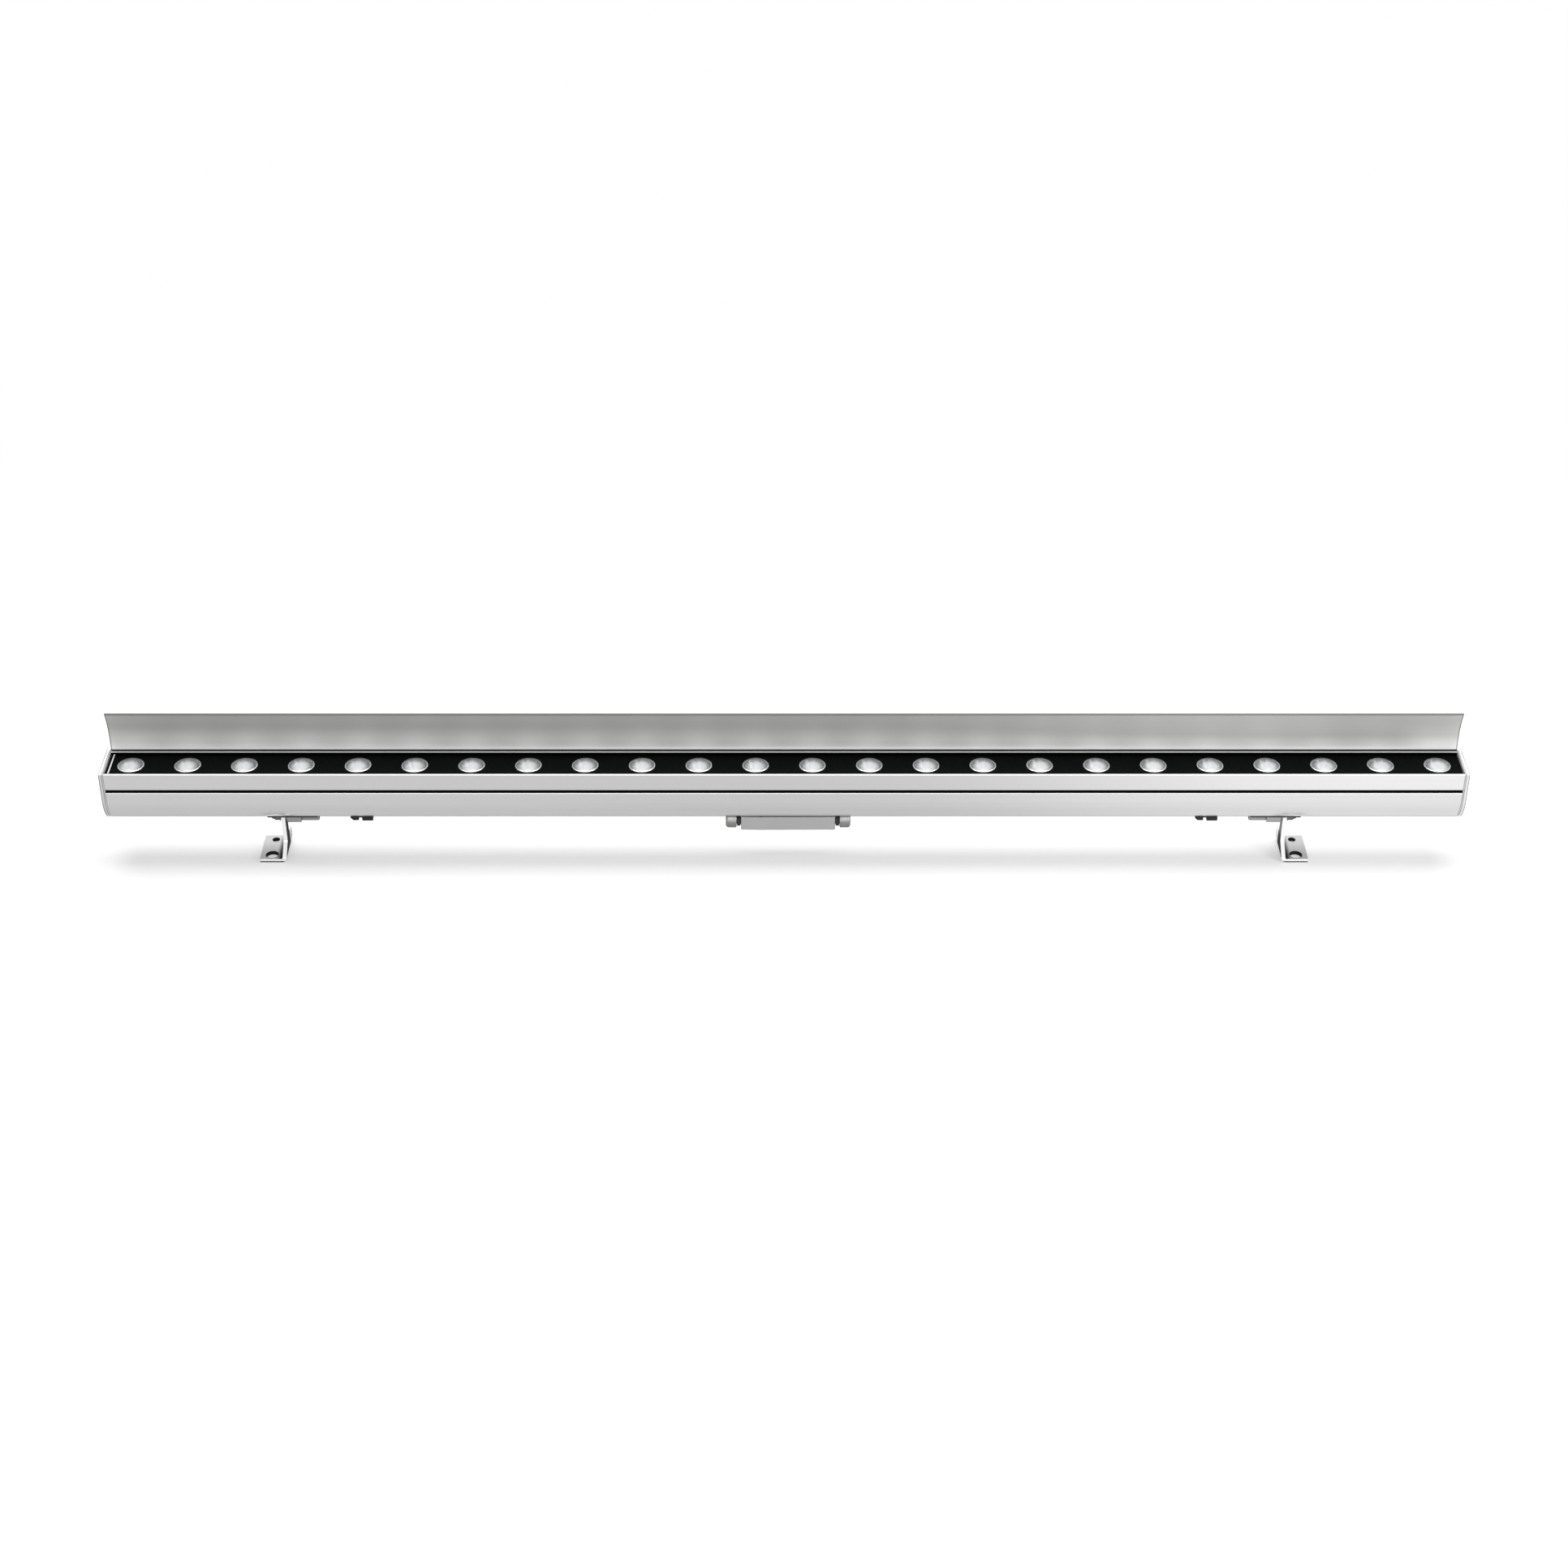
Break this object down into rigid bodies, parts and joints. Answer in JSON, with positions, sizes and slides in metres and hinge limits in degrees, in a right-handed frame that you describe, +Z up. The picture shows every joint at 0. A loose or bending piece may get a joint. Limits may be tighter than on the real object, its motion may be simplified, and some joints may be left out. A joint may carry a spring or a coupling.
{
  "type": "linear floodlight",
  "caption": "Long linear floodlight: extruded aluminium body with a row of round lenses, a curved visor behind them, and sheet metal feet that it tilts on.",
  "frame": {"origin": "on the mounting surface, under the middle of the body: bottom centre of the whole light", "axes": "+X along the body to its right end, -Y the front of the light, +Z up away from the mounting surface"},
  "size_m": [1, 0.0356, 0.1148],
  "materials": {
    "body_aluminium": "satin silver anodised extrusion",
    "visor_sheet": "matte grey sheet",
    "stainless": "polished stainless steel",
    "plated_steel": "bright plated",
    "screw_steel": "stainless screws",
    "black_plastic": "black moulded plastic",
    "clear_lens": "clear moulded acrylic",
    "black_rubber": "black silicone",
    "circuit_board": "solder resist",
    "component": "moulded component"
  },
  "bodies": {
    "left_foot": {"bracket_left": "stainless"},
    "body": {"cable_clip_left": "body_aluminium", "cable_clip_right": "body_aluminium", "clip_screw_left_1": "screw_steel", "clip_screw_right_1": "screw_steel", "driver_board": "circuit_board", "driver_capacitor": "component", "driver_pad": "black_rubber", "driver_transformer": "black_plastic", "end_cap_left": "body_aluminium", "end_cap_right": "body_aluminium", "end_cap_screw_left_1": "screw_steel", "end_cap_screw_left_2": "screw_steel", "end_cap_screw_left_3": "screw_steel", "end_cap_screw_left_4": "screw_steel", "end_cap_screw_right_1": "screw_steel", "end_cap_screw_right_2": "screw_steel", "end_cap_screw_right_3": "screw_steel", "end_cap_screw_right_4": "screw_steel", "end_gasket_left": "black_rubber", "end_gasket_right": "black_rubber", "end_stop_strip": "body_aluminium", "gland_body_left": "black_plastic", "gland_body_right": "black_plastic", "gland_nut_left": "plated_steel", "gland_nut_right": "plated_steel", "gland_seal_left": "black_rubber", "gland_seal_right": "black_rubber", "housing": "body_aluminium", "lead_grommet": "black_rubber", "led_board_left": "circuit_board", "led_board_right": "circuit_board", "led_lead": "black_rubber", "lens_plate": "black_plastic", "lens_plate_seal": "black_rubber", "lens_strip_left": "clear_lens", "lens_strip_right": "clear_lens", "pivot_bolt_left": "stainless", "pivot_bolt_right": "stainless", "pivot_nut_left": "stainless", "pivot_nut_right": "stainless", "pivot_shoe_left": "body_aluminium", "pivot_shoe_right": "body_aluminium", "pivot_washer_left": "plated_steel", "pivot_washer_right": "plated_steel", "shoe_screw_left_1": "screw_steel", "shoe_screw_left_2": "screw_steel", "shoe_screw_right_1": "screw_steel", "shoe_screw_right_2": "screw_steel", "supply_lead": "black_rubber", "terminal_block": "component", "visor": "visor_sheet", "visor_set_screw_1": "screw_steel", "visor_set_screw_2": "screw_steel", "visor_set_screw_3": "screw_steel", "wiring_box": "body_aluminium", "wiring_box_gasket": "black_rubber", "wiring_box_screw_1": "screw_steel", "wiring_box_screw_2": "screw_steel"},
    "right_foot": {"bracket_right": "stainless"}
  },
  "joints": [
    {"name": "tilt", "type": "hinge", "parent": "left_foot", "child": "body", "pos_m": [-0.3715, 0, 0.0317], "axis": [1, 0, 0], "range_deg": [-90, 90]},
    {"name": "right_pivot", "type": "hinge", "parent": "body", "child": "right_foot", "pos_m": [0.3715, 0, 0.0317], "axis": [1, 0, 0], "range_deg": [-90, 90]}
  ],
  "couplings": [
    {"joint": "right_pivot", "follows": "tilt", "ratio": -1}
  ]
}
